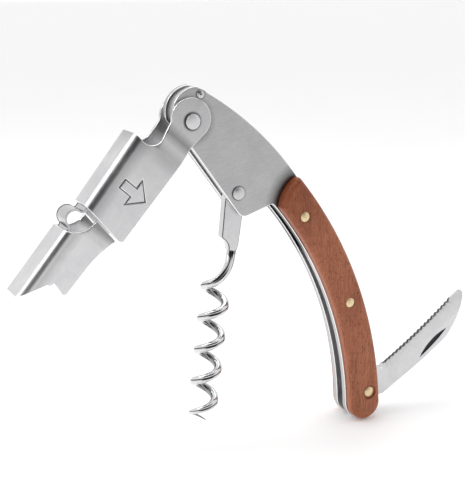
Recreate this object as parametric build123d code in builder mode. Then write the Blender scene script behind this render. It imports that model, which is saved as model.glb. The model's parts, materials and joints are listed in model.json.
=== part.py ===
"""Waiter's corkscrew, in millimetres, +Z up.

The handle stands in the XZ plane and every pin lies along Y. The origin is the middle brass rivet,
on the centre plane between the two liners. The front of the tool faces -Y. It is drawn unfolded:
the two-step lever swung out to -X, the worm hanging down and the knife out to +X.
"""

import os
from math import cos, pi, radians, sin, sqrt

from build123d import *

# pins and rivets, as X and Z in the plane of the handle
LEVER_PIN = (-51.2, 57.9)
HEAD_RIVET = (-48.3, 65.0)
WORM_PIN = (-36.6, 36.6)
UPPER_RIVET = (-16.4, 28.3)
GRIP_RIVET = (0.0, 0.0)
KNIFE_PIN = (8.0, -30.3)

# layers of the handle, measured out from the centre plane
SLOT_HALF = 1.5
LINER_T = 1.9
LINER_OUT = SLOT_HALF + LINER_T
SCALE_T = 3.4
SCALE_OUT = LINER_OUT + SCALE_T
SCALE_ROUND = 1.7
FRONT_INSET = 0.4
REAR_INSET = 1.1
INNER_T = 2.8
RUNNING = 0.05

# long curves of the handle: centre and radius of each arc
BACK = ((-113.9, -42.5), 126.3)
BELLY = ((-107.5, -39.3), 109.0)
BOLSTER = ((-98.5, -21.3), 101.5)
HEAD_TOP = (-49.4, 67.2)
HANDLE_END_Z = -39.4

# two-step lever, in its own plane: u runs down the lever, v towards its open side
LEVER_ANGLE = 228.4
LEVER_HALF = 5.75
SHEET = 0.9
EAR_GAP = 0.1
EAR_R = 5.7
EAR_OUT = LINER_OUT + EAR_GAP + SHEET
ENGRAVING = 0.15
STRAP_T = 0.6
STRAP_W = 7.4
STRAP_GAP = 0.1
LOOP_R = 2.5
LOOP_EASE_R = 0.9
LOOP_START_U = 36.9
LOOP_TURNS = (-92.0, 167.9, -77.3)

# each step of the lever: its spine as two points (u, v), the radius of the bend beside the spine,
# and the joggle that widens it, as the u where it starts and ends and the half width before it
STEP_SPINE = ((12.6, -11.3), (36.0, -10.0))
STEP_BEND = 2.6
STEP_JOGGLE = (4.6, 12.3, EAR_OUT)
FOOT_SPINE = ((44.3, -10.5), (65.9, -9.8))
FOOT_BEND = 2.0
FOOT_JOGGLE = (38.4, 42.6, 5.3)

# worm, in its own plane: t runs down the axis, n towards +X
WORM_ANGLE = -97.0
WORM_AXIS_N = -2.3
HELIX_R = 3.35
WIRE_R = 1.25
PITCH = 9.6
TURNS = 4.9
HELIX_START = 22.8
SHANK_R = 1.4
SHANK_N = 1.5
SHANK_BOTTOM = 17.0
SHANK_ELBOW = (22.3, -0.6, 2.5)
COIL_FIRST = 0.38
TIP_TURNS = 0.75
TIP_R = 0.15

# knife, in its own plane: a runs along the blade, b towards the edge
KNIFE_ANGLE = 34.8
BLADE_T = 1.9
TEETH = 19
TOOTH_PITCH = 1.62
TOOTH_R = 0.79
TOOTH_BACK_R = 0.35
FIRST_TOOTH = 12.0

# rivet sizes
STEEL_PIN_R = 1.6
WORM_PIN_R = 1.3
BRASS_R = 1.0
BRASS_HEAD_R = 1.55
HEAD_SOFT = 0.15


def on_arc(arc, z, inset=0.0):
    """The point at height z on one of the handle's long arcs, drawn in towards its centre."""
    (cx, cz), radius = arc
    return (cx + sqrt((radius - inset) ** 2 - (z - cz) ** 2), z)


def side_plane(pivot, angle=0.0):
    """A plane through a pivot whose x axis is turned up from +X by angle, facing the front."""
    turn = radians(angle)
    return Plane(origin=(pivot[0], 0, pivot[1]), x_dir=(cos(turn), 0, sin(turn)), z_dir=(0, -1, 0))


def layer(y):
    """The plane of the handle's outline at depth y, facing the front."""
    return Plane(origin=(0, y, 0), x_dir=(1, 0, 0), z_dir=(0, -1, 0))


def hole(pivot, radius):
    """A round hole along Y right through a piece, as a solid to take away."""
    with BuildPart() as drill:
        with BuildSketch(side_plane(pivot)):
            Circle(radius)
        extrude(amount=4 * SCALE_OUT, both=True)
    return drill.part


def rivet(pivot, shank_r, head_r, seat, height, crown):
    """A pin along Y with a rounded, slightly domed head at each end, seated at the given depth."""
    plane = Plane(origin=(pivot[0], 0, pivot[1]), x_dir=(1, 0, 0), z_dir=(0, 0, 1))
    top_r, rim = head_r - HEAD_SOFT, seat + height - crown - HEAD_SOFT
    sphere = (top_r**2 + crown**2) / (2 * crown)
    half_way = seat + height - sphere + sqrt(sphere**2 - top_r**2 / 4)
    eased = HEAD_SOFT / sqrt(2)
    with BuildPart() as pin:
        with BuildSketch(plane):
            with BuildLine():
                Polyline((0, 0), (shank_r, 0), (shank_r, seat), (head_r, seat), (head_r, rim))
                ThreePointArc((head_r, rim), (top_r + eased, rim + eased), (top_r, rim + HEAD_SOFT))
                ThreePointArc((top_r, rim + HEAD_SOFT), (top_r / 2, half_way), (0, seat + height))
                Line((0, seat + height), (0, 0))
            make_face()
        revolve(axis=Axis((pivot[0], 0, pivot[1]), (0, 1, 0)))
        mirror(about=Plane.XZ)
    return pin.part


# liners: the two flat steel plates that carry every pin -----------------------------------------


def liner_profile(y):
    """The outline of a liner, with its round head at the top and its curved grip below."""
    back_start, back_mid = on_arc(BOLSTER, 39.6), on_arc(BOLSTER, 55.0)
    tail, belly_end = on_arc(BACK, -34.0), on_arc(BELLY, -34.4)
    notch = on_arc(BELLY, 32.5)
    with BuildSketch(layer(y)) as profile:
        with BuildLine():
            ThreePointArc(HEAD_TOP, back_mid, back_start)
            ThreePointArc(back_start, on_arc(BACK, 3.0), tail)
            ThreePointArc(tail, (6.6, HANDLE_END_Z), belly_end)
            ThreePointArc(belly_end, on_arc(BELLY, 0.0), notch)
            Polyline(notch, (-35.5, 29.2), (-56.5, 58.0))
            ThreePointArc((-56.5, 58.0), (-55.4, 64.0), HEAD_TOP)
        make_face()
        corners = profile.vertices()
        fillet(corners.sort_by_distance((notch[0], notch[1], 0))[0], 1.2)
        fillet(profile.vertices().sort_by_distance((-35.5, 29.2, 0))[0], 2.6)
        fillet(profile.vertices().sort_by_distance((HEAD_TOP[0], HEAD_TOP[1], 0))[0], 1.2)
    return profile.sketch


def liner(y):
    """One liner whose rear face is at depth y, drilled for its pins and rivets."""
    with BuildPart() as plate:
        extrude(liner_profile(y), amount=LINER_T)
        for pivot, radius in (
            (LEVER_PIN, STEEL_PIN_R),
            (HEAD_RIVET, BRASS_R),
            (WORM_PIN, WORM_PIN_R),
            (UPPER_RIVET, BRASS_R),
            (GRIP_RIVET, BRASS_R),
            (KNIFE_PIN, BRASS_R),
        ):
            add(hole(pivot, radius), mode=Mode.SUBTRACT)
    return plate.part


# scales: the two wooden grips, rounded over on their outer faces --------------------------------


def scale_profile(y, inset):
    """The outline of a wooden scale, which stops in a shallow bow against the bare bolster."""
    top, tail = on_arc(BACK, 40.2, -0.3), on_arc(BACK, -34.2, -0.2)
    low, belly_end = on_arc(BELLY, 31.2, -inset), on_arc(BELLY, -34.4, -inset)
    with BuildSketch(layer(y)) as profile:
        with BuildLine():
            ThreePointArc(top, on_arc(BACK, 3.0, -0.3), tail)
            ThreePointArc(tail, (6.7, HANDLE_END_Z + 0.1), belly_end)
            ThreePointArc(belly_end, on_arc(BELLY, 0.0, -inset), low)
            ThreePointArc(low, (-22.1, 36.3), top)
        make_face()
        fillet(profile.vertices().sort_by_distance((low[0], low[1], 0))[0], 1.0)
        fillet(profile.vertices().sort_by_distance((top[0], top[1], 0))[0], 1.0)
    return profile.sketch


def scale(y, outward, inset):
    """One scale from depth y, with a shallow seat for each brass head on its outer face."""
    with BuildPart() as grip:
        extrude(scale_profile(y, inset), amount=SCALE_T)
        outer = grip.faces().sort_by(Axis.Y)[0 if outward < 0 else -1]
        fillet(outer.edges(), SCALE_ROUND)
        for pivot, seat_r in ((UPPER_RIVET, 1.6), (GRIP_RIVET, 1.6), (KNIFE_PIN, 2.3)):
            add(hole(pivot, BRASS_R), mode=Mode.SUBTRACT)
            seat = Plane(
                origin=(pivot[0], outward * SCALE_OUT, pivot[1]),
                x_dir=(1, 0, 0),
                z_dir=(0, -outward, 0),
            )
            with BuildSketch(seat):
                Circle(seat_r)
            extrude(amount=0.6, mode=Mode.SUBTRACT)
    return grip.part


# pieces between the liners ----------------------------------------------------------------------


def between_liners(profile_sketch):
    """A flat piece that fills the slot between the liners."""
    with BuildPart() as inner:
        extrude(profile_sketch, amount=2 * SLOT_HALF)
    return inner.part


def spacer_profile():
    """The pad that keeps the head of the two liners apart, around the lever pin."""
    with BuildSketch(layer(SLOT_HALF)) as profile:
        with BuildLine():
            ThreePointArc((-55.9, 58.2), (-54.9, 63.7), (-49.5, 66.5))
            ThreePointArc((-49.5, 66.5), (-46.9, 65.6), (-44.9, 64.2))
            Polyline((-44.9, 64.2), (-44.4, 55.0), (-51.2, 52.0), (-55.9, 58.2))
        make_face()
    return profile.sketch


def spring_profile():
    """The flat spring on the two upper rivets, from the worm's shoulder to the knife's tang."""
    tip_in, tip_out = on_arc(BELLY, -27.0, -1.4), on_arc(BELLY, -26.6, -3.1)
    with BuildSketch(layer(SLOT_HALF)) as profile:
        with BuildLine():
            Line(tip_in, tip_out)
            ThreePointArc(tip_out, on_arc(BELLY, -14.0, -5.0), on_arc(BELLY, -2.0, -6.2))
            ThreePointArc(on_arc(BELLY, -2.0, -6.2), on_arc(BELLY, 15.0, -7.0), (-15.3, 31.0))
            Polyline((-15.3, 31.0), (-24.6, 39.6), (-31.6, 40.6), (-31.4, 38.3), (-25.6, 36.6))
            Line((-25.6, 36.6), on_arc(BELLY, 29.0, -2.6))
            ThreePointArc(on_arc(BELLY, 29.0, -2.6), on_arc(BELLY, 3.0, -1.6), tip_in)
        make_face()
    return profile.sketch


# lever: two folded channels joined by a spring strap --------------------------------------------


LEVER = side_plane(LEVER_PIN, LEVER_ANGLE)


def plan_prism(joggle, grow):
    """A prism across the lever whose half width eases out to the full width over a joggle."""
    start, end, narrow = joggle
    slim, full = narrow + grow, LEVER_HALF + grow
    with BuildPart() as prism:
        with BuildSketch(Plane(origin=LEVER.origin, x_dir=LEVER.x_dir, z_dir=LEVER.y_dir)):
            with BuildLine():
                Polyline((-10, 0), (-10, slim), (start, slim))
                Spline((start, slim), (end, full), tangents=((1, 0), (1, 0)))
                Polyline((end, full), (75, full), (75, 0))
                mirror(about=Plane.XZ)
            make_face()
        extrude(amount=40, both=True)
    return prism.part


def spine_v(spine, u, inset=0.0):
    """The depth of a spine's outer face at u, drawn in towards the open side by an inset."""
    (u_top, v_top), (u_end, v_end) = spine
    return v_top + (v_end - v_top) * (u - u_top) / (u_end - u_top) + inset


def long_bends(piece, spine, inset):
    """The two edges of a piece that run down the lever at its full width, beside its spine."""
    edges = piece.edges().filter_by(GeomType.LINE).filter_by(lambda edge: edge.length > 12)
    wide = edges.filter_by(lambda edge: abs(edge.center().Y) > LEVER_HALF - SHEET - 0.1)
    places = [(edge, LEVER.to_local_coords(edge.center())) for edge in wide]
    return [edge for edge, at in places if abs(at.Y - spine_v(spine, at.X, inset)) < 0.2]


def inside_channel(spine, bend, joggle):
    """The space inside a channel, open on the side away from the spine."""
    floor = [(u, spine_v(spine, u, SHEET)) for u in (-10, 75)]
    with BuildPart() as space:
        with BuildSketch(LEVER):
            Polygon(*floor, (75, 30), (-10, 30), align=None)
        extrude(amount=20, both=True)
        add(plan_prism(joggle, -SHEET), mode=Mode.INTERSECT)
        fillet(long_bends(space, spine, SHEET), bend - SHEET)
    return space.part


def channel(profile_sketch, spine, bend, joggle):
    """A folded channel: its side outline, trimmed to a joggled width, bent and hollowed."""
    with BuildPart() as folded:
        extrude(profile_sketch, amount=LEVER_HALF + 1, both=True)
        add(plan_prism(joggle, 0.0), mode=Mode.INTERSECT)
        fillet(long_bends(folded, spine, 0.0), bend)
        add(inside_channel(spine, bend, joggle), mode=Mode.SUBTRACT)
    return folded.part


def step_profile():
    """Side outline of the upper step: an ear round the pin, a neck, then the long channel wall."""
    with BuildSketch(LEVER) as profile:
        with BuildLine():
            Line((-0.4, EAR_R - 0.4), (6.0, 4.5))
            Polyline((6.0, 4.5), (38.3, 4.7), STEP_SPINE[1], STEP_SPINE[0], (13.1, -8.4))
            ThreePointArc((13.1, -8.4), (12.2, -5.4), (9.4, -4.0))
            Line((9.4, -4.0), (4.0, -4.7))
            ThreePointArc((4.0, -4.7), (-5.6, 1.9), (-0.4, EAR_R - 0.4))
        make_face()
        fillet(profile.vertices().sort_by_distance((38.3, 4.7, 0))[0], 1.2)
    return profile.sketch


def foot_profile():
    """Side outline of the foot: a hollow for the strap at the top and the lip notch below."""
    with BuildSketch(LEVER) as profile:
        with BuildLine():
            ThreePointArc(FOOT_SPINE[0], (42.0, -6.7), (37.1, -4.9))
            Line((37.1, -4.9), (38.4, 3.1))
            ThreePointArc((38.4, 3.1), (44.0, 1.3), (50.0, 0.8))
            Polyline((50.0, 0.8), (58.6, 0.7), (57.2, -4.0), (58.3, -4.4), (58.6, -5.3))
            Polyline((58.6, -5.3), FOOT_SPINE[1], FOOT_SPINE[0])
        make_face()
        for corner, radius in (((58.6, 0.7, 0), 0.9), ((38.4, 3.1, 0), 0.5)):
            fillet(profile.vertices().sort_by_distance(corner)[0], radius)
    return profile.sketch


def arrow_outline():
    """A plain block arrow across the front wall of the upper step, pointing to its open side."""
    shaft, head, neck, tip = 1.35, 3.95, 4.1, 8.5
    face = Plane(
        origin=LEVER.from_local_coords((25.3, -5.8, LEVER_HALF)), x_dir=LEVER.y_dir, z_dir=LEVER.z_dir
    )
    right = [(0, shaft), (neck, shaft), (neck, head), (tip, 0)]
    left = [(x, -y) for x, y in reversed(right[:-1])]
    with BuildSketch(face) as mark:
        with BuildLine():
            Polyline(*right, *left, close=True)
        trace(line_width=0.3)
    return mark.sketch


def strap_profile():
    """The spring strap seen from the side: flat, one loop outside the hinge gap, flat again."""
    seat = SHEET + STRAP_T / 2 + STRAP_GAP
    with BuildSketch(LEVER) as profile:
        with BuildLine():
            end = Line(*((u, spine_v(STEP_SPINE, u, seat)) for u in (29.5, LOOP_START_U)))
            for radius, turn in zip((LOOP_EASE_R, LOOP_R, LOOP_EASE_R), LOOP_TURNS):
                end = JernArc(end @ 1, end % 1, radius, turn)
            Line(end @ 1, (49.0, spine_v(FOOT_SPINE, 49.0, seat)))
            offset(amount=STRAP_T / 2)
        make_face()
    return profile.sketch


# worm: a flat tang that carries the shank of a round-wire coil ----------------------------------


WORM = side_plane(WORM_PIN, WORM_ANGLE)


def tang_profile():
    """Side outline of the worm's tang, from its eye down to the shoulder round the shank."""
    with BuildSketch(WORM) as profile:
        with BuildLine():
            ThreePointArc((0.6, 3.3), (-3.2, 0.2), (0.4, -2.9))
            Line((0.4, -2.9), (13.5, -2.6))
            ThreePointArc((13.5, -2.6), (14.6, -0.9), (17.0, 0.0))
            Polyline((17.0, 0.0), (17.0, 2.5), (15.4, 2.9), (0.6, 3.3))
        make_face()
        fillet(profile.vertices().sort_by_distance((13.5, -2.6, 0))[0], 0.8)
    return profile.sketch


def coil_plane(turn):
    """A plane across the coil, this many turns down from its start, with x out to the wire."""
    angle = 2 * pi * turn
    out = WORM.y_dir * cos(angle) + WORM.z_dir * sin(angle)
    centre = WORM.from_local_coords((HELIX_START + PITCH * turn, WORM_AXIS_N, 0))
    return Plane(origin=centre, x_dir=out, z_dir=WORM.x_dir)


def coil(first, last):
    """The centre line of the coil between two turn counts."""
    turned = Edge.make_helix(PITCH, PITCH * (last - first), HELIX_R)
    return coil_plane(first).location * turned


def across(path, place, radius):
    """A round section of the wire, square to its centre line."""
    with BuildSketch(Plane(origin=path @ place, z_dir=path % place)) as section:
        Circle(radius)
    return section.sketch


# knife: a serrated foil blade with a flat tang ---------------------------------------------------


KNIFE = side_plane(KNIFE_PIN, KNIFE_ANGLE)


def blade_profile():
    """Side outline of the blade from the choil to the tip, before the serrations are cut."""
    with BuildSketch(KNIFE) as profile:
        with BuildLine():
            ThreePointArc((10.9, -0.4), (26.0, -0.75), (42.5, 0.0))
            Polyline((42.5, 0.0), (48.2, 0.0), (46.6, -2.8))
            ThreePointArc((46.6, -2.8), (41.0, -7.0), (33.5, -9.9))
            ThreePointArc((33.5, -9.9), (20.5, -9.7), (8.0, -8.6))
            Polyline((8.0, -8.6), (8.0, -0.6), (9.1, -0.6), (10.9, -0.4))
        make_face()
        fillet(profile.vertices().sort_by_distance((48.2, 0.0, 0))[0], 1.2)
    return profile.sketch


def knife_tang_profile():
    """Side outline of the tang: an eye round the knife pin that widens to meet the blade."""
    with BuildSketch(KNIFE) as profile:
        with BuildLine():
            Line((8.6, 0.9), (2.2, 3.5))
            ThreePointArc((2.2, 3.5), (-3.9, 1.2), (-0.6, -4.1))
            Line((-0.6, -4.1), (4.8, -8.1))
            Polyline((4.8, -8.1), (9.6, -8.6), (9.6, -0.6), (9.1, -0.6), (8.6, 0.9))
        make_face()
    return profile.sketch


def grind():
    """The two tapers that thin the blade from its middle to the edge, as one solid to take away."""
    section = Plane(origin=KNIFE.from_local_coords((11.0, 0, 0)), x_dir=KNIFE.y_dir, z_dir=KNIFE.x_dir)
    half = BLADE_T / 2
    with BuildPart() as tapers:
        with BuildSketch(section):
            for side in (1, -1):
                points = ((-5.0, side * half), (2.0, side * 0.1), (2.0, side * 2), (-5.0, side * 2))
                with BuildLine():
                    Polyline(*points, close=True)
                make_face()
        extrude(amount=40)
    return tapers.part


# pieces, one after another ----------------------------------------------------------------------

os.makedirs("parts", exist_ok=True)


def save(part, name):
    """Label a finished piece and write it under the same name."""
    part.label = name
    export_step(part, f"parts/{name}.step")


with BuildPart() as liner_front:
    add(liner(-SLOT_HALF))
save(liner_front.part, "liner_front")

with BuildPart() as liner_rear:
    add(liner(LINER_OUT))
save(liner_rear.part, "liner_rear")

with BuildPart() as scale_front:
    add(scale(-LINER_OUT, -1, FRONT_INSET))
save(scale_front.part, "scale_front")

with BuildPart() as scale_rear:
    add(scale(SCALE_OUT, 1, REAR_INSET))
save(scale_rear.part, "scale_rear")

with BuildPart() as head_spacer:
    add(between_liners(spacer_profile()))
    add(hole(LEVER_PIN, STEEL_PIN_R), mode=Mode.SUBTRACT)
    add(hole(HEAD_RIVET, BRASS_R), mode=Mode.SUBTRACT)
save(head_spacer.part, "head_spacer")

with BuildPart() as back_spring:
    add(between_liners(spring_profile()))
    add(hole(UPPER_RIVET, BRASS_R), mode=Mode.SUBTRACT)
    add(hole(GRIP_RIVET, BRASS_R), mode=Mode.SUBTRACT)
save(back_spring.part, "back_spring")

for name, pivot in (("upper_rivet", UPPER_RIVET), ("grip_rivet", GRIP_RIVET)):
    save(rivet(pivot, BRASS_R, BRASS_HEAD_R, SCALE_OUT - 0.6, 0.6, 0.2), name)

save(rivet(KNIFE_PIN, BRASS_R, 1.65, SCALE_OUT - 0.6, 0.5, 0.3), "knife_pin")
save(rivet(WORM_PIN, WORM_PIN_R, 1.9, LINER_OUT, 0.6, 0.2), "worm_pin")
save(rivet(HEAD_RIVET, BRASS_R, 1.15, LINER_OUT, 0.45, 0.15), "head_rivet")
save(rivet(LEVER_PIN, STEEL_PIN_R, 2.15, EAR_OUT + RUNNING, 0.65, 0.1), "lever_pin")

with BuildPart() as lever_channel:
    add(channel(step_profile(), STEP_SPINE, STEP_BEND, STEP_JOGGLE))
    add(hole(LEVER_PIN, STEEL_PIN_R + RUNNING), mode=Mode.SUBTRACT)
    extrude(arrow_outline(), amount=-ENGRAVING, mode=Mode.SUBTRACT)
save(lever_channel.part, "lever_channel")

with BuildPart() as lever_foot:
    add(channel(foot_profile(), FOOT_SPINE, FOOT_BEND, FOOT_JOGGLE))
save(lever_foot.part, "lever_foot")

with BuildPart() as lever_spring:
    extrude(strap_profile(), amount=STRAP_W / 2, both=True)
save(lever_spring.part, "lever_spring")

with BuildPart() as worm_tang:
    extrude(tang_profile(), amount=INNER_T / 2, both=True)
    add(hole(WORM_PIN, WORM_PIN_R + RUNNING), mode=Mode.SUBTRACT)
    with BuildSketch(Plane(origin=WORM.from_local_coords((12.0, SHANK_N, 0)), z_dir=WORM.x_dir)):
        Circle(SHANK_R)
    extrude(amount=20, mode=Mode.SUBTRACT)
save(worm_tang.part, "worm_tang")

with BuildPart() as worm:
    body = coil(COIL_FIRST, TURNS - TIP_TURNS)
    tip = coil(TURNS - TIP_TURNS, TURNS)
    start, bend_start = (WORM.from_local_coords((t, SHANK_N, 0)) for t in (12.0, SHANK_BOTTOM))
    with BuildLine() as shank:
        Line(start, bend_start)
    with BuildLine() as bend:
        elbow = WORM.from_local_coords(SHANK_ELBOW)
        Spline(bend_start, elbow, body @ 0, tangents=(WORM.x_dir, body % 0))
    sweep(across(shank.line, 0, SHANK_R), path=shank.line)
    sweep(
        [across(bend.line, 0, SHANK_R), across(bend.line, 1, WIRE_R)],
        path=bend.line,
        multisection=True,
    )
    sweep(across(body, 0, WIRE_R), path=body, is_frenet=True)
    sweep([across(tip, 0, WIRE_R), across(tip, 1, TIP_R)], path=tip, multisection=True)
save(worm.part, "worm")

with BuildPart() as knife_blade:
    extrude(blade_profile(), amount=BLADE_T / 2, both=True)
    add(grind(), mode=Mode.SUBTRACT)
    for tooth in range(TEETH):
        a = FIRST_TOOTH + tooth * TOOTH_PITCH
        b = 0.1 - 0.75 * (1 - ((a - 26.0) / 16.0) ** 2)
        with Locations(Plane(KNIFE.from_local_coords((a, b, 0)), KNIFE.x_dir, KNIFE.z_dir)):
            Cone(TOOTH_BACK_R, TOOTH_R, BLADE_T, mode=Mode.SUBTRACT)
    with BuildSketch(Plane(KNIFE.from_local_coords((0, 0, BLADE_T / 2)), KNIFE.x_dir, KNIFE.z_dir)):
        with BuildLine():
            ThreePointArc((22.4, -8.5), (29.3, -6.6), (35.9, -7.4))
            ThreePointArc((35.9, -7.4), (29.0, -8.4), (22.4, -8.5))
        make_face()
    extrude(amount=-0.35, mode=Mode.SUBTRACT)
    extrude(knife_tang_profile(), amount=INNER_T / 2, both=True)
    add(hole(KNIFE_PIN, BRASS_R + RUNNING), mode=Mode.SUBTRACT)
save(knife_blade.part, "knife_blade")
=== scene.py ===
"""Looks for the waiter's corkscrew: finer meshes, procedural finishes, light and camera.

Lengths are in millimetres here and turned to metres by MM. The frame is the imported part's own:
origin on the middle brass rivet, +X towards the knife, +Y to the rear scale, +Z up the handle.
"""

import json
from math import atan2, cos, hypot, pi, radians, sin

import bmesh
import bpy
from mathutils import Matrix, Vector

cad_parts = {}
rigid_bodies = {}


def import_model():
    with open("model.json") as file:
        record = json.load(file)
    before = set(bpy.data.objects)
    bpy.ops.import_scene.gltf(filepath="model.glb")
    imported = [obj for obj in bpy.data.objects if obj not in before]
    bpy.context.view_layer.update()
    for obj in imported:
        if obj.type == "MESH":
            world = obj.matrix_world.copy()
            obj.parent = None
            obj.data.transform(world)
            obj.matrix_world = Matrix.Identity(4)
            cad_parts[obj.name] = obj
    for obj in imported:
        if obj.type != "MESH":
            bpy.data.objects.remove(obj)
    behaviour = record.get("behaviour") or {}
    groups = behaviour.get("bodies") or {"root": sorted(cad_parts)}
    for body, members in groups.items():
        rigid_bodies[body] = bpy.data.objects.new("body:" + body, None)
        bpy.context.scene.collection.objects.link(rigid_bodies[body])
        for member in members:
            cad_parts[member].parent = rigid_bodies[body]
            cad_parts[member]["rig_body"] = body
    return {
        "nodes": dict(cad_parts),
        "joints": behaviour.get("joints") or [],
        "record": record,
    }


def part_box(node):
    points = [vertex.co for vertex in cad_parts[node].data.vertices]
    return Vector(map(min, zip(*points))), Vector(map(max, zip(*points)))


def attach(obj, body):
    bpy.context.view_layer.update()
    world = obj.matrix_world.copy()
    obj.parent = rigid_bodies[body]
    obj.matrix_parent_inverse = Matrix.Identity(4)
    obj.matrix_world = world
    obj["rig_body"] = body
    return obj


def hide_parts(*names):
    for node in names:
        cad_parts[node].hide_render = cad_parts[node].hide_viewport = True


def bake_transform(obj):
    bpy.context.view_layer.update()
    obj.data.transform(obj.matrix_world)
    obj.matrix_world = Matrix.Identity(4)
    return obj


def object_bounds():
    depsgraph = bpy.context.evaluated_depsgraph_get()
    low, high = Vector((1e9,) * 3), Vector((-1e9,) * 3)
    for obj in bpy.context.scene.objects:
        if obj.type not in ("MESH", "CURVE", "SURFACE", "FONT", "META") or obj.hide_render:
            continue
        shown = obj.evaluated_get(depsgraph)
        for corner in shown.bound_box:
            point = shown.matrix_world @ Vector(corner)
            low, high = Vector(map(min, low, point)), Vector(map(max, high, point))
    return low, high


MM = 0.001

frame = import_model()
CAD_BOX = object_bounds()
NODES = frame["nodes"]
JOINTS = {joint["name"]: joint for joint in frame["joints"]}

# the part's own planes, from its joints -----------------------------------------------------------

LEVER_ANGLE = 228.4
WORM_ANGLE = -97.0
KNIFE_ANGLE = 34.8


class Side:
    """A plane across the pins: x turned up from +X by angle, y a quarter turn on, z frontwards."""

    def __init__(self, pivot, angle):
        turn = radians(angle)
        self.origin = Vector(pivot)
        self.x = Vector((cos(turn), 0, sin(turn)))
        self.y = Vector((-sin(turn), 0, cos(turn)))
        self.z = Vector((0, -1, 0))

    def at(self, x, y, z=0.0):
        """A point given in this plane's millimetres, as a place in the frame."""
        return self.origin + (self.x * x + self.y * y + self.z * z) * MM


LEVER = Side(JOINTS["lever_fold"]["pos_m"], LEVER_ANGLE)
WORM = Side(JOINTS["worm_fold"]["pos_m"], WORM_ANGLE)
KNIFE = Side(JOINTS["knife_fold"]["pos_m"], KNIFE_ANGLE)


# node helpers -------------------------------------------------------------------------------------


class Nodes:
    """A node tree under construction."""

    def __init__(self, tree):
        self.tree = tree

    def feed(self, socket, value):
        """Set a socket from a value or from another node's output."""
        if isinstance(value, bpy.types.NodeSocket):
            self.tree.links.new(value, socket)
        else:
            socket.default_value = value

    def node(self, kind, **inputs):
        """A node of this kind with its sockets set from values or from other nodes' outputs."""
        made = self.tree.nodes.new(kind)
        for name, value in inputs.items():
            numbered = name[0] == "i" and name[1:].isdigit()
            self.feed(made.inputs[int(name[1:]) if numbered else name], value)
        return made

    def place(self, angle=0.0, stretch=(1.0, 1.0, 1.0), offset=(0.0, 0.0, 0.0)):
        """Coordinates in the piece's own frame, with x turned to angle in the handle's plane."""
        source = self.node("ShaderNodeTexCoord").outputs["Object"]
        turned = self.node(
            "ShaderNodeMapping", Vector=source, Rotation=(0.0, radians(angle), 0.0), Location=offset
        )
        return self.node(
            "ShaderNodeMapping", Vector=turned.outputs["Vector"], Scale=stretch
        ).outputs["Vector"]

    def noise(self, vector, scale, detail=3.0, roughness=0.55, distortion=0.0):
        made = self.node(
            "ShaderNodeTexNoise", Vector=vector, Scale=scale, Detail=detail, Roughness=roughness,
            Distortion=distortion,
        )
        return made.outputs["Fac"]

    def ramp(self, fac, *stops):
        """A colour ramp through (position, colour or grey) stops."""
        made = self.node("ShaderNodeValToRGB", Fac=fac)
        elements = made.color_ramp.elements
        while len(elements) < len(stops):
            elements.new(0.5)
        for element, (position, tone) in zip(elements, stops):
            element.position = position
            element.color = (tone, tone, tone, 1.0) if isinstance(tone, float) else (*tone, 1.0)
        return made.outputs["Color"]

    def span(self, fac, low, high, first=0.0, last=1.0):
        """fac moved from the range low to high onto first to last."""
        made = self.node("ShaderNodeMapRange", i0=fac, i1=low, i2=high, i3=first, i4=last)
        return made.outputs["Result"]

    def mix(self, fac, one, other, blend="MIX"):
        made = self.tree.nodes.new("ShaderNodeMix")
        made.data_type = "RGBA"
        made.blend_type = blend
        for socket, value in ((0, fac), (6, one), (7, other)):
            self.feed(made.inputs[socket], (*value, 1.0) if isinstance(value, tuple) else value)
        return made.outputs[2]

    def math(self, operation, one, other=0.0):
        made = self.tree.nodes.new("ShaderNodeMath")
        made.operation = operation
        for socket, value in enumerate((one, other)):
            self.feed(made.inputs[socket], value)
        return made.outputs[0]

    def reach(self, x, z):
        """Distance in metres from a line along Y through x and z, in the piece's own frame."""
        source = self.node("ShaderNodeTexCoord").outputs["Object"]
        flat = self.node(
            "ShaderNodeMapping", Vector=source, Location=(-x * MM, 0.0, -z * MM),
            Scale=(1.0, 0.0, 1.0),
        )
        length = self.tree.nodes.new("ShaderNodeVectorMath")
        length.operation = "LENGTH"
        self.tree.links.new(flat.outputs["Vector"], length.inputs[0])
        return length.outputs["Value"]

    def travel(self, origin, way):
        """Distance in metres from a place along a unit direction."""
        dot = self.tree.nodes.new("ShaderNodeVectorMath")
        dot.operation = "DOT_PRODUCT"
        self.tree.links.new(self.node("ShaderNodeTexCoord").outputs["Object"], dot.inputs[0])
        dot.inputs[1].default_value = way
        return self.math("SUBTRACT", dot.outputs["Value"], way.dot(origin))

    def peak(self, origin, way, start, top, end):
        """A mask along a direction, up from start to top and down to end, in millimetres."""
        rise = self.span(self.travel(origin, way), start * MM, top * MM)
        fall = self.span(self.travel(origin, way), top * MM, end * MM, 1.0, 0.0)
        return self.math("MULTIPLY", rise, fall)


class Finish(Nodes):
    """A material under construction: one Principled shader and whatever feeds it."""

    def __init__(self, name, color, **values):
        self.material = bpy.data.materials.new(name)
        self.material.use_nodes = True
        super().__init__(self.material.node_tree)
        self.shader = self.tree.nodes["Principled BSDF"]
        self.set("Base Color", (*color, 1.0))
        for socket, value in values.items():
            self.set(socket.replace("_", " "), value)

    def set(self, socket, value):
        self.shader.inputs[socket].default_value = value

    def link(self, output, socket):
        self.tree.links.new(output, self.shader.inputs[socket])

    def bump(self, height, depth, strength=1.0):
        """Surface relief, depth in millimetres."""
        made = self.node("ShaderNodeBump", Height=height, Strength=strength, Distance=depth * MM)
        self.link(made.outputs["Normal"], "Normal")


# finishes -----------------------------------------------------------------------------------------


def near_axis(x, z, inner, outer):
    """A mask that is full within inner of a line along Y and gone at outer, in millimetres."""
    return lambda made: made.span(made.reach(x, z), inner * MM, outer * MM, 1.0, 0.0)


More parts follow.
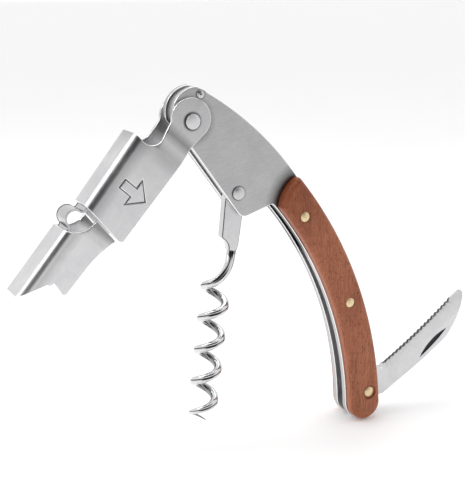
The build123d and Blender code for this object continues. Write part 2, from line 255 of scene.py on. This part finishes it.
def down_plane(side, full, none):
    """A mask that is full at one distance along a plane and gone at the other, in millimetres."""
    return lambda made: made.span(made.travel(side.origin, side.x), full * MM, none * MM, 1.0, 0.0)


def across_plane(side, middle, half):
    """A mask that is full at one distance along a plane and fades to either side of it."""
    return lambda made: made.peak(side.origin, side.x, middle - half, middle, middle + half)


def on_back(back):
    """A mask for a channel's back and the outside of its folds."""
    return lambda made: made.span(made.travel(back.origin, back.y), 0.8 * MM, 2.0 * MM, 1.0, 0.0)


def beside_fold(back, reach):
    """A mask for the walls just inside a channel's folds, fading out over reach millimetres."""
    return lambda made: made.peak(back.origin, back.y, 1.2, 2.6, 2.6 + reach)


def brushed_steel(name, color, angle, rough, grain=0.12, scratch=0.004, shades=()):
    """Sheet steel brushed along one direction in the handle's plane, with soft handling marks.

    shades are (mask, tone) pairs of painted shade: full mask darkens the steel to that tone.
    """
    made = Finish(name, color, Metallic=1.0, Roughness=rough)
    lines = made.noise(made.place(angle, (240.0, 4200.0, 4200.0)), 1.0, 6.0, 0.66)
    fine = made.noise(made.place(angle, (900.0, 9000.0, 9000.0), (0.3, 0.1, 0.7)), 1.0, 3.0)
    smudge = made.noise(made.place(angle), 110.0, 5.0, 0.65, 0.4)
    streaks = made.mix(0.5, lines, fine)
    tone = made.mix(
        made.span(streaks, 0.32, 0.68), tuple(c * (1 - grain) for c in color),
        tuple(min(1.0, c * (1 + grain)) for c in color),
    )
    cloudy = made.mix(made.span(smudge, 0.35, 0.7), (0.90, 0.90, 0.91), (1.05, 1.04, 1.03))
    tone = made.mix(1.0, tone, cloudy, "MULTIPLY")
    for mask, shade in shades:
        tone = made.mix(mask(made), tone, made.mix(1.0, tone, (shade, shade, shade), "MULTIPLY"))
    made.link(tone, "Base Color")
    worn = made.math("ADD", made.span(streaks, 0.3, 0.7, rough - 0.07, rough + 0.07),
                     made.span(smudge, 0.3, 0.7, -0.04, 0.05))
    made.link(worn, "Roughness")
    made.bump(streaks, scratch)
    return made.material


def polished_steel(name, color, rough, mottle=0.05):
    """Bright plated steel with faint wiping marks."""
    made = Finish(name, color, Metallic=1.0, Roughness=rough)
    haze = made.noise(made.place(), 900.0, 4.0, 0.6)
    fine = made.noise(made.place(), 5200.0, 2.0)
    made.link(made.span(haze, 0.3, 0.7, max(0.02, rough - mottle), rough + mottle), "Roughness")
    tone = made.mix(made.span(fine, 0.3, 0.7), tuple(c * 0.95 for c in color), color)
    made.link(tone, "Base Color")
    made.bump(haze, 0.003)
    return made.material


def brass(name, color, rough):
    """Filed brass: warm, a little scratched, darker in small pits."""
    made = Finish(name, color, Metallic=1.0, Roughness=rough)
    marks = made.noise(made.place(40.0, (300.0, 4200.0, 4200.0)), 1.0, 4.0)
    pits = made.noise(made.place(), 2400.0, 3.0)
    tone = made.mix(made.span(marks, 0.3, 0.7), tuple(c * 0.82 for c in color),
                    tuple(min(1.0, c * 1.12) for c in color))
    tone = made.mix(made.span(pits, 0.62, 0.75, 0.0, 0.5), tone, (0.30, 0.19, 0.09))
    made.link(tone, "Base Color")
    made.link(made.span(marks, 0.3, 0.7, rough - 0.08, rough + 0.1), "Roughness")
    made.bump(marks, 0.006)
    return made.material


def wood(name, top):
    """Reddish brown hardwood, its grain straight up the handle, with short open pores.

    top masks the rounded end by the bolster, where painted shade makes the wood darker and redder.
    """
    made = Finish(name, (0.28, 0.09, 0.045), Roughness=0.40)
    grain = 93.0
    made.set("Specular IOR Level", 0.30)
    bands = made.noise(made.place(grain, (16.0, 340.0, 340.0)), 1.0, 4.0, 0.6, 0.6)
    fibre = made.noise(made.place(grain, (260.0, 4300.0, 4300.0)), 1.0, 5.0, 0.68)
    pores = made.noise(made.place(grain, (900.0, 4200.0, 4200.0), (0.2, 0.4, 0.1)), 1.0, 2.0)
    figure = made.noise(made.place(grain + 80, (300.0, 1100.0, 1100.0)), 1.0, 4.0, 0.65, 1.2)
    broad = made.noise(made.place(), 55.0, 3.0)
    base = made.ramp(
        bands, (0.25, (0.270, 0.068, 0.026)), (0.45, (0.370, 0.104, 0.042)),
        (0.60, (0.445, 0.140, 0.063)), (0.78, (0.330, 0.088, 0.035)),
    )
    base = made.mix(made.span(fibre, 0.34, 0.66, 0.0, 0.72), base, (0.58, 0.225, 0.118))
    base = made.mix(made.span(fibre, 0.28, 0.48, 0.55, 0.0), base, (0.15, 0.034, 0.013))
    base = made.mix(made.span(figure, 0.48, 0.75, 0.0, 0.38), base, (0.21, 0.052, 0.022))
    base = made.mix(made.span(broad, 0.4, 0.65, 0.0, 0.28), base, (0.24, 0.062, 0.028))
    dark_pores = made.span(pores, 0.59, 0.67)
    base = made.mix(made.math("MULTIPLY", dark_pores, 0.75), base, (0.10, 0.022, 0.011))
    # painted shade over the wood's rounded upper end
    base = made.mix(top(made), base, made.mix(1.0, base, (0.72, 0.60, 0.52), "MULTIPLY"))
    made.link(base, "Base Color")
    made.link(made.span(fibre, 0.3, 0.7, 0.32, 0.48), "Roughness")
    relief = made.math("SUBTRACT", made.math("MULTIPLY", fibre, 0.35), dark_pores)
    made.bump(relief, 0.03, 0.8)
    return made.material


def dark_fill(name, color, rough):
    """Dark, uneven, dull metal: painted shade in hollows, and the arrow's dark line."""
    made = Finish(name, color, Metallic=0.8, Roughness=rough)
    speck = made.noise(made.place(), 3800.0, 3.0)
    tone = made.mix(made.span(speck, 0.3, 0.7), tuple(c * 0.7 for c in color), color)
    made.link(tone, "Base Color")
    made.link(made.span(speck, 0.3, 0.7, rough - 0.08, rough + 0.08), "Roughness")
    made.bump(speck, 0.004)
    return made.material


def floor_paint():
    """The pale studio floor, with the faintest unevenness."""
    made = Finish("studio_floor", (0.94, 0.94, 0.94), Roughness=0.6)
    speck = made.noise(made.place(), 14.0, 2.0)
    tone = made.mix(made.span(speck, 0.3, 0.7), (0.93, 0.93, 0.93), (0.95, 0.95, 0.95))
    made.link(tone, "Base Color")
    made.set("Emission Color", (1.0, 1.0, 1.0, 1.0))
    made.set("Emission Strength", 0.14)
    return made.material


HEAD_RIVET_AT = (-48.3, 65.0)
LEVER_PIVOT, WORM_PIVOT = ((s.origin.x * 1000, s.origin.z * 1000) for s in (LEVER, WORM))

# centres of the painted shade on the steel and on the wood, by the wood's upper end
STEEL_SHADE_AT = (-12.2, 30.1)
WOOD_SHADE_AT = (-24.0, 39.0)

LINER_SHADES = (
    # painted shade in a ring round the lever's pivot
    (near_axis(*LEVER_PIVOT, 5.8, 7.6), 0.68),
    # painted shadow round the worm pin's head
    (near_axis(*WORM_PIVOT, 1.95, 2.35), 0.30),
    # painted shadow round the head rivet's head
    (near_axis(*HEAD_RIVET_AT, 1.2, 1.6), 0.35),
    # painted dark reflection and shadow of the wood's upper end on the steel
    (near_axis(*STEEL_SHADE_AT, 11.7, 16.2), 0.18),
)
STEP_BACK = Side(LEVER.at(12.6, -11.3), LEVER_ANGLE + 3.2)
FOOT_BACK = Side(LEVER.at(44.3, -10.5), LEVER_ANGLE + 1.9)
LEVER_SHADES = (
    # painted shade dimming the highlight on the back and the outside of its folds
    (on_back(STEP_BACK), 0.93),
    # painted dark reflection on the walls beside the folds
    (beside_fold(STEP_BACK, 3.4), 0.66),
    # painted shadow in a ring round the lever pin's head
    (near_axis(*LEVER_PIVOT, 2.3, 2.9), 0.16),
    # painted shade across the ears' necks where the joggle starts
    (across_plane(LEVER, 6.4, 2.6), 0.55),
    # painted shade across the walls where the joggle ends
    (across_plane(LEVER, 12.6, 3.6), 0.80),
    (down_plane(LEVER, 8.0, 22.0), 0.84),
)
FOOT_SHADES = (
    # painted shadow on the foot's top, under the end edge of the upper step
    (down_plane(LEVER, 38.6, 40.6), 0.45),
    # painted shade dimming the highlight on the foot's back and the outside of its folds
    (on_back(FOOT_BACK), 0.95),
    # painted dark reflection on the foot's walls beside the folds
    (beside_fold(FOOT_BACK, 2.6), 0.72),
)
FINISHES = {
    "liner_steel": brushed_steel(
        "liner_steel", (0.51, 0.51, 0.515), 12.0, 0.36, 0.15, 0.005, LINER_SHADES
    ),
    "lever_steel": brushed_steel(
        "lever_steel", (0.69, 0.69, 0.70), LEVER_ANGLE, 0.34, 0.10, 0.004, LEVER_SHADES
    ),
    # the steel between the liners is darkened as painted shade in the gap between them
    "inner_steel": brushed_steel("inner_steel", (0.24, 0.24, 0.245), 60.0, 0.5, 0.12),
    "strap_steel": polished_steel("strap_steel", (0.52, 0.52, 0.53), 0.16),
    "blade_steel": brushed_steel("blade_steel", (0.68, 0.685, 0.69), KNIFE_ANGLE, 0.33, 0.10),
    "worm_chrome": polished_steel("worm_chrome", (0.70, 0.70, 0.71), 0.09),
    "pin_steel": polished_steel("pin_steel", (0.60, 0.60, 0.61), 0.24),
    "rivet_brass": brass("rivet_brass", (0.82, 0.66, 0.40), 0.34),
    "handle_wood": wood("handle_wood", near_axis(*WOOD_SHADE_AT, 3.0, 19.0)),
}
TANG_STEEL = brushed_steel("tang_steel", (0.68, 0.68, 0.685), WORM_ANGLE, 0.32, 0.10)
FOOT_STEEL = brushed_steel(
    "foot_steel", (0.72, 0.72, 0.73), LEVER_ANGLE, 0.34, 0.10, 0.004, FOOT_SHADES
)
BRIGHT_PIN = polished_steel("lever_pin_steel", (0.70, 0.70, 0.71), 0.24)
# a painted highlight along the eased edges of the sheet parts
EDGE_HIGHLIGHT = polished_steel("edge_highlight", (0.95, 0.95, 0.95), 0.22)
# the dark line in the arrow's groove, and painted shade in the nail nick
GROOVE_DARK = dark_fill("groove_dark_steel", (0.055, 0.055, 0.06), 0.55)
# painted shade in the teeth's hollows, the worm's groove and on the tang's edges
PAINTED_SHADE = dark_fill("painted_shade_steel", (0.12, 0.12, 0.125), 0.35)
SHADED = polished_steel("worm_shaded", (0.30, 0.30, 0.305), 0.14)


def finish_piece(piece, slot):
    """Give a piece the finish of its record slot."""
    piece.data.materials.clear()
    piece.data.materials.append(FINISHES[slot])


# pieces -------------------------------------------------------------------------------------------


PIN_NODES = ("upper_rivet", "grip_rivet", "knife_pin", "worm_pin", "head_rivet", "lever_pin")
PIN_AXES = [(Vector(low) + Vector(high)) / 2 for low, high in (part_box(name) for name in PIN_NODES)]

# how near a pin's axis, or the shank's, an edge is left sharp; SHANK_N is the shank's place across
HOLE_REACH, DOME_REACH, SHANK_REACH = 1.75, 0.6, 1.6
SHANK_N = 1.5


def at_pin(edge, node):
    """True if an edge lies on the rim of a hole that a pin's head or the worm's shank fills.

    On a pin itself it is true only at the middle of its domed heads.
    """
    middle = (edge.verts[0].co + edge.verts[1].co) / 2
    away = (middle - WORM.origin) / MM
    if node == "worm_tang" and hypot(away.dot(WORM.y) - SHANK_N, away.y) < SHANK_REACH:
        return True
    near = min(hypot(middle.x - axis.x, middle.z - axis.z) for axis in PIN_AXES)
    return near < (DOME_REACH if node in PIN_NODES else HOLE_REACH) * MM


def softened(node, slot, width, edge):
    """A copy of a CAD node whose hard edges are eased by width and may have their own finish."""
    mesh = NODES[node].data.copy()
    mesh.materials.clear()
    for finish in (FINISHES[slot], edge) if edge else (FINISHES[slot],):
        mesh.materials.append(finish)
    shape = bmesh.new()
    shape.from_mesh(mesh)
    bmesh.ops.remove_doubles(shape, verts=shape.verts, dist=1e-7)
    bmesh.ops.dissolve_limit(
        shape, angle_limit=radians(0.3), verts=shape.verts, edges=shape.edges, delimit=set()
    )
    hard = [
        e for e in shape.edges
        if len(e.link_faces) == 2 and e.calc_face_angle() > radians(32) and not at_pin(e, node)
    ]
    eased_faces = bmesh.ops.bevel(
        shape, geom=hard, offset=width * MM, segments=2, profile=0.5, affect="EDGES",
        clamp_overlap=False,
    )["faces"]
    for face in eased_faces if edge else ():
        face.material_index = 1
    bmesh.ops.triangulate(shape, faces=[f for f in shape.faces if len(f.verts) > 4])
    shape.to_mesh(mesh)
    shape.free()
    mesh.shade_smooth()
    mesh.set_sharp_from_angle(angle=radians(50))
    piece = bpy.data.objects.new(node + "_eased", mesh)
    bpy.context.scene.collection.objects.link(piece)
    even = piece.modifiers.new("even", "WEIGHTED_NORMAL")
    even.keep_sharp = True
    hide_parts(node)
    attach(piece, NODES[node]["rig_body"])
    return piece


SLOT_OF = {part["node"]: part["material_slot"] for part in frame["record"]["subparts"]}
for name, node in NODES.items():
    node.data.materials.clear()
    node.data.materials.append(FINISHES[SLOT_OF[name]])

# eased edges: painted highlight on the sheet parts' edges, painted shade on the tang's edges
EASED = {
    "liner_front": (0.22, EDGE_HIGHLIGHT),
    "liner_rear": (0.22, EDGE_HIGHLIGHT),
    "lever_channel": (0.20, EDGE_HIGHLIGHT),
    "lever_foot": (0.20, EDGE_HIGHLIGHT),
    "worm_tang": (0.22, PAINTED_SHADE),
    "head_spacer": (0.1, None),
    "back_spring": (0.1, None),
    "knife_blade": (0.04, None),
    "lever_pin": (0.03, None),
    "worm_pin": (0.03, None),
    "head_rivet": (0.03, None),
}
eased = {name: softened(name, SLOT_OF[name], *ease) for name, ease in EASED.items()}
eased["worm_tang"].data.materials[0] = TANG_STEEL
eased["lever_foot"].data.materials[0] = FOOT_STEEL
eased["lever_pin"].data.materials[0] = BRIGHT_PIN


# ranges along the blade, across it, and through its thickness
TEETH_SPAN, TEETH_DEPTH = (10.9, 43.0), -1.8
NICK_SPAN, NICK_DEPTH = (22.3, 36.0), (-8.7, -6.4)
NICK_FLOOR = (-0.7, -0.5)


def paint_blade(mesh):
    """Painted shade: darken the ground hollows between the teeth and the bottom of the nail nick."""
    mesh.materials.append(PAINTED_SHADE)
    mesh.materials.append(GROOVE_DARK)
    for face in mesh.polygons:
        away = (face.center - KNIFE.origin) / MM
        a, b = away.dot(KNIFE.x), away.dot(KNIFE.y)
        if b > TEETH_DEPTH and TEETH_SPAN[0] < a < TEETH_SPAN[1] and abs(face.normal.y) < 0.95:
            face.material_index = 1
        in_nick = NICK_SPAN[0] < a < NICK_SPAN[1] and NICK_DEPTH[0] < b < NICK_DEPTH[1]
        if in_nick and NICK_FLOOR[0] < away.y < NICK_FLOOR[1]:
            face.material_index = 2


paint_blade(eased["knife_blade"].data)


def own_piece(name, points, faces, slot, body):
    """A piece from points in the frame, finished as its record slot; body None leaves it free."""
    mesh = bpy.data.meshes.new(name)
    mesh.from_pydata(points, [], faces)
    mesh.validate()
    shape = bmesh.new()
    shape.from_mesh(mesh)
    bmesh.ops.recalc_face_normals(shape, faces=shape.faces)
    shape.to_mesh(mesh)
    shape.free()
    mesh.shade_smooth()
    piece = bpy.data.objects.new(name, mesh)
    bpy.context.scene.collection.objects.link(piece)
    finish_piece(piece, slot)
    if body is not None:
        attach(piece, body)
    return piece


def lofted(rings):
    """Points and faces of a closed solid through rings of equal length, capped at both ends."""
    count = len(rings[0])
    points = [point for ring in rings for point in ring]
    faces = [tuple(range(count)), tuple(len(points) - count + i for i in reversed(range(count)))]
    for row in range(len(rings) - 1):
        for i in range(count):
            j, first = (i + 1) % count, row * count
            faces.append((first + i, first + j, first + count + j, first + count + i))
    return points, faces


# the spring strap, which bends between the two steps ----------------------------------------------


# in the lever's plane: where the loop starts, its bends as (radius, turn in degrees), and the half
# sizes of the section
STRAP_SLOPE = atan2(1.3, 23.4)
LOOP_START = (36.9, -8.65)
LOOP_BENDS = ((0.9, -92.0), (2.5, 167.9), (0.9, -77.3))
STRAP_HALF_T, STRAP_HALF_W, STRAP_EASE = 0.3, 3.7, 0.12


def strap_line():
    """Centre line of the strap as (u, v, heading): flat, up and over one loop, and flat again."""
    slope = STRAP_SLOPE
    (u, v), heading = LOOP_START, slope
    line = [(u - back * cos(slope), v - back * sin(slope), slope) for back in (7.4, 5.0, 2.5, 1.0)]
    for radius, turn in LOOP_BENDS:
        steps = max(8, int(abs(turn) / 7))
        for _ in range(steps):
            line.append((u, v, heading))
            half = radians(turn) / steps / 2
            chord = 2 * radius * sin(abs(half))
            u, v = u + chord * cos(heading + half), v + chord * sin(heading + half)
            heading += 2 * half
    line.append((u, v, heading))
    line += [(u + on * cos(heading), v + on * sin(heading), heading) for on in (1.0, 3.0, 5.3)]
    return line


def strap_ring(u, v, heading):
    """The strap's section square to its line: a flat bar with eased edges."""
    half_t, half_w, soft = STRAP_HALF_T, STRAP_HALF_W, STRAP_EASE
    corner = [(half_t, half_w - soft), (half_t - soft, half_w)]
    outline = corner + [(-t, w) for t, w in reversed(corner)]
    outline += [(t, -w) for t, w in ((-half_t + soft, half_w), (-half_t, half_w - soft))]
    outline += [(half_t - soft, -half_w), (half_t, -half_w + soft)]
    return [LEVER.at(u - t * sin(heading), v + t * cos(heading), w) for t, w in outline]


strap_rings = [strap_ring(*place) for place in strap_line()]
strap = own_piece("spring_strap", *lofted(strap_rings), SLOT_OF["lever_spring"], None)
strap.data.set_sharp_from_angle(angle=radians(40))
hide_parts("lever_spring")
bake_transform(strap)


# the worm: its shank and coil with a shallow groove along the wire --------------------------------

# radii, then the coil along and about the worm's axis, with its start and its tip in turns
WIRE_R, SHANK_R, TIP_R = 1.25, 1.4, 0.15
HELIX_R, PITCH, HELIX_START, AXIS_N = 3.35, 9.6, 22.8, -2.3
COIL_FIRST, TURNS, TIP_TURNS = 0.38, 4.9, 0.75

# the line of the wire before the coil, and how many sections and sides each stretch has
SHANK_T = (12.5, 14.0, 15.5)
BEND_START, ELBOW = (17.0, SHANK_N), (22.3, -0.6, 2.5)
BEND_STEPS, COIL_STEPS, WORM_SIDES = 12, 150, 36
COIL_ROW = len(SHANK_T) + 2 * BEND_STEPS
TOP_ROWS = 6

# round the wire, from its outer side; the depth is a share of the radius
GROOVE_AT, GROOVE_HALF, GROOVE_DEPTH = radians(10), radians(30), 0.16
INNER_HALF = radians(48)


def off_groove(angle):
    """How far round the wire an angle is from the middle of the groove."""
    return abs((angle - GROOVE_AT + pi) % (2 * pi) - pi)


def on_coil(turn):
    """Place and outward direction on the coil, this many turns from its start."""
    angle = 2 * pi * turn
    t = HELIX_START + PITCH * turn
    place = WORM.at(t, AXIS_N + HELIX_R * cos(angle), HELIX_R * sin(angle))
    return place, WORM.y * cos(angle) + WORM.z * sin(angle)


def curved(first, first_way, middle, last, last_way, steps):
    """Points on a smooth two-piece cubic from first through middle to last."""
    a, b = (middle - first).length, (last - middle).length
    chords = (middle - first) * (b / a) + (last - middle) * (a / b)
    way = (chords * 3 - first_way * b - last_way * a) / (2 * (a + b))
    line = []
    halves = ((first, middle, first_way, way, a), (middle, last, way, last_way, b))
    for start, end, leave, arrive, span in halves:
        for i in range(steps):
            s = i / steps
            line.append(
                start * (2 * s**3 - 3 * s**2 + 1) + leave * span * (s**3 - 2 * s**2 + s)
                + end * (3 * s**2 - 2 * s**3) + arrive * span * (s**3 - s**2)
            )
    return line


def worm_line():
    """The wire's centre line as (place, outward direction or None, radius), shank to point."""
    start = on_coil(COIL_FIRST)[0]
    way = (on_coil(COIL_FIRST + 0.001)[0] - start).normalized()
    bend = curved(WORM.at(*BEND_START), WORM.x, WORM.at(*ELBOW), start, way, BEND_STEPS)
    line = [(WORM.at(t, SHANK_N), None, SHANK_R) for t in SHANK_T]
    line += [(p, None, SHANK_R + (WIRE_R - SHANK_R) * i / len(bend)) for i, p in enumerate(bend)]
    for i in range(COIL_STEPS + 1):
        turn = COIL_FIRST + (TURNS - COIL_FIRST) * i / COIL_STEPS
        fade = min(1.0, max(0.0, (TURNS - turn) / TIP_TURNS))
        line.append((*on_coil(turn), TIP_R + (WIRE_R - TIP_R) * fade))
    return line


def worm_rings():
    """Sections of the wire, square to its line, with the groove pressed into its outer side."""
    line = worm_line()
    last = len(line) - 1
    ways = [
        (line[min(i + 1, last)][0] - line[max(i - 1, 0)][0]).normalized() for i in range(last + 1)
    ]
    outs = [None] * len(line)
    for i in reversed(range(len(line))):
        outward = line[i][1] or outs[i + 1]
        outs[i] = (outward - ways[i] * outward.dot(ways[i])).normalized()
    rings = []
    for (place, _, radius), way, outward in zip(line, ways, outs):
        across = way.cross(outward)
        ring = []
        for k in range(WORM_SIDES):
            angle = 2 * pi * k / WORM_SIDES
            dip = max(0.0, 1 - off_groove(angle) / GROOVE_HALF)
            reach = radius * (1 - GROOVE_DEPTH * dip * (3 - 2 * dip) * dip) * MM
            ring.append(place + (outward * cos(angle) + across * sin(angle)) * reach)
        rings.append(ring)
    return rings


def paint_worm(mesh):
    """Painted shade in the groove's bottom, inside the coil and on the front of the shank's top."""
    mesh.materials.append(PAINTED_SHADE)
    mesh.materials.append(SHADED)
    for face in mesh.polygons[2:]:
        row, place = divmod(face.index - 2, WORM_SIDES)
        around = 2 * pi * (place + 0.5) / WORM_SIDES
        if off_groove(around) < GROOVE_HALF * (0.25 if row < COIL_ROW else 0.45):
            face.material_index = 1
        elif row >= COIL_ROW and abs(around - pi) < INNER_HALF:
            face.material_index = 2
        elif row < TOP_ROWS and face.normal.y < -0.25 and face.normal.x > -0.5:
            face.material_index = 2


worm = own_piece("worm_wire", *lofted(worm_rings()), SLOT_OF["worm"], "worm")
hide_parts("worm")
paint_worm(worm.data)


# marks cut into the steel -------------------------------------------------------------------------


def band(side, corners, inner, outer, depth, thick):
    """A thin strip along a closed outline in a plane, from inner to outer of its line."""
    count = len(corners)
    points = []
    for i, (x, y) in enumerate(corners):
        before, after = corners[i - 1], corners[(i + 1) % count]
        one = Vector((x - before[0], y - before[1])).normalized()
        two = Vector((after[0] - x, after[1] - y)).normalized()
        normal = Vector((one.y + two.y, -one.x - two.x))
        normal /= 1 + one.dot(two)
        for away in (inner, outer):
            for level in (depth, depth - thick):
                points.append(side.at(x + normal.x * away, y + normal.y * away, level))
    faces = []
    for i in range(count):
        a, b = 4 * i, 4 * ((i + 1) % count)
        for p, q in ((0, 2), (2, 3), (3, 1), (1, 0)):
            faces.append((a + p, a + q, b + q, b + p))
    return points, faces


ARROW_U, ARROW_LEVEL, ARROW_LINE = 25.3, 5.72, 0.14
ARROW = (
    (-1.35, -5.8), (1.35, -5.8), (1.35, -1.7), (3.95, -1.7), (0, 2.7), (-3.95, -1.7), (-1.35, -1.7),
)
arrow = own_piece(
    "arrow_mark",
    *band(LEVER, [(ARROW_U + u, v) for u, v in ARROW], -ARROW_LINE, ARROW_LINE, ARROW_LEVEL, 0.1),
    "lever_steel",
    "lever_upper",
)
arrow.data.materials[0] = GROOVE_DARK
arrow.data.shade_flat()


# stage --------------------------------------------------------------------------------------------


def area_light(name, place, aim, size, power):
    """A rectangular soft light, placed and aimed in millimetres."""
    data = bpy.data.lights.new(name, "AREA")
    data.shape = "RECTANGLE"
    data.size, data.size_y = (s * MM for s in size)
    data.energy = power
    light = bpy.data.objects.new(name, data)
    bpy.context.scene.collection.objects.link(light)
    light.location = Vector(place) * MM
    direction = (Vector(aim) - Vector(place)) * MM
    light.rotation_euler = direction.to_track_quat("-Z", "Y").to_euler()


MIDDLE = (-30.0, 0.0, 15.0)
area_light("key", (-430.0, 90.0, 430.0), MIDDLE, (260, 260), 0.9)
area_light("top", (-20.0, 120.0, 480.0), MIDDLE, (420, 300), 0.6)


def studio_world():
    """A white room with one soft dark opening ahead and above, for the metal to reflect.

    The opening is left out of the backdrop itself, which is plain white from every side.
    """
    world = bpy.data.worlds.new("studio")
    bpy.context.scene.world = world
    world.use_nodes = True
    tree = world.node_tree
    room = Nodes(tree)
    aim = Vector((-0.25, -0.90, 0.36)).normalized()
    sky = room.node("ShaderNodeTexCoord").outputs["Generated"]
    split = room.node("ShaderNodeSeparateXYZ", Vector=sky)
    along = room.math(
        "ADD",
        room.math("ADD", room.math("MULTIPLY", split.outputs["X"], aim.x),
                  room.math("MULTIPLY", split.outputs["Y"], aim.y)),
        room.math("MULTIPLY", split.outputs["Z"], aim.z),
    )
    backdrop = room.node("ShaderNodeLightPath").outputs["Is Camera Ray"]
    dark = room.math("MULTIPLY", room.span(along, 0.60, 0.84), room.math("SUBTRACT", 1.0, backdrop))
    tone = room.mix(dark, (1.0, 1.0, 1.0), (0.02, 0.02, 0.022))
    background = tree.nodes["Background"]
    tree.links.new(tone, background.inputs["Color"])
    background.inputs["Strength"].default_value = 1.0


studio_world()

floor_mesh = bpy.data.meshes.new("floor")
FLOOR_HALF = 6.0
floor_z = CAD_BOX[0][2] - 0.2 * MM
floor_signs = ((-1, -1), (1, -1), (1, 1), (-1, 1))
floor_corners = [(x * FLOOR_HALF, y * FLOOR_HALF, floor_z) for x, y in floor_signs]
floor_mesh.from_pydata(floor_corners, [], [(0, 1, 2, 3)])
floor = bpy.data.objects.new("floor", floor_mesh)
bpy.context.scene.collection.objects.link(floor)
floor_mesh.materials.append(floor_paint())

CAMERA_PLACE = (-172.1, -265.6, 95.4)
CAMERA_AIM = (-36.8, 0.0, 21.1)
camera_data = bpy.data.cameras.new("camera")
camera_data.lens = 78.5
camera_data.sensor_width = 36.0
camera_data.clip_start = 0.01
camera = bpy.data.objects.new("camera", camera_data)
bpy.context.scene.collection.objects.link(camera)
camera.location = Vector(CAMERA_PLACE) * MM
look = (Vector(CAMERA_AIM) - Vector(CAMERA_PLACE)) * MM
camera.rotation_euler = look.to_track_quat("-Z", "Y").to_euler()
bpy.context.scene.camera = camera

bpy.context.view_layer.update()

bpy.context.scene.view_settings.view_transform = "Standard"
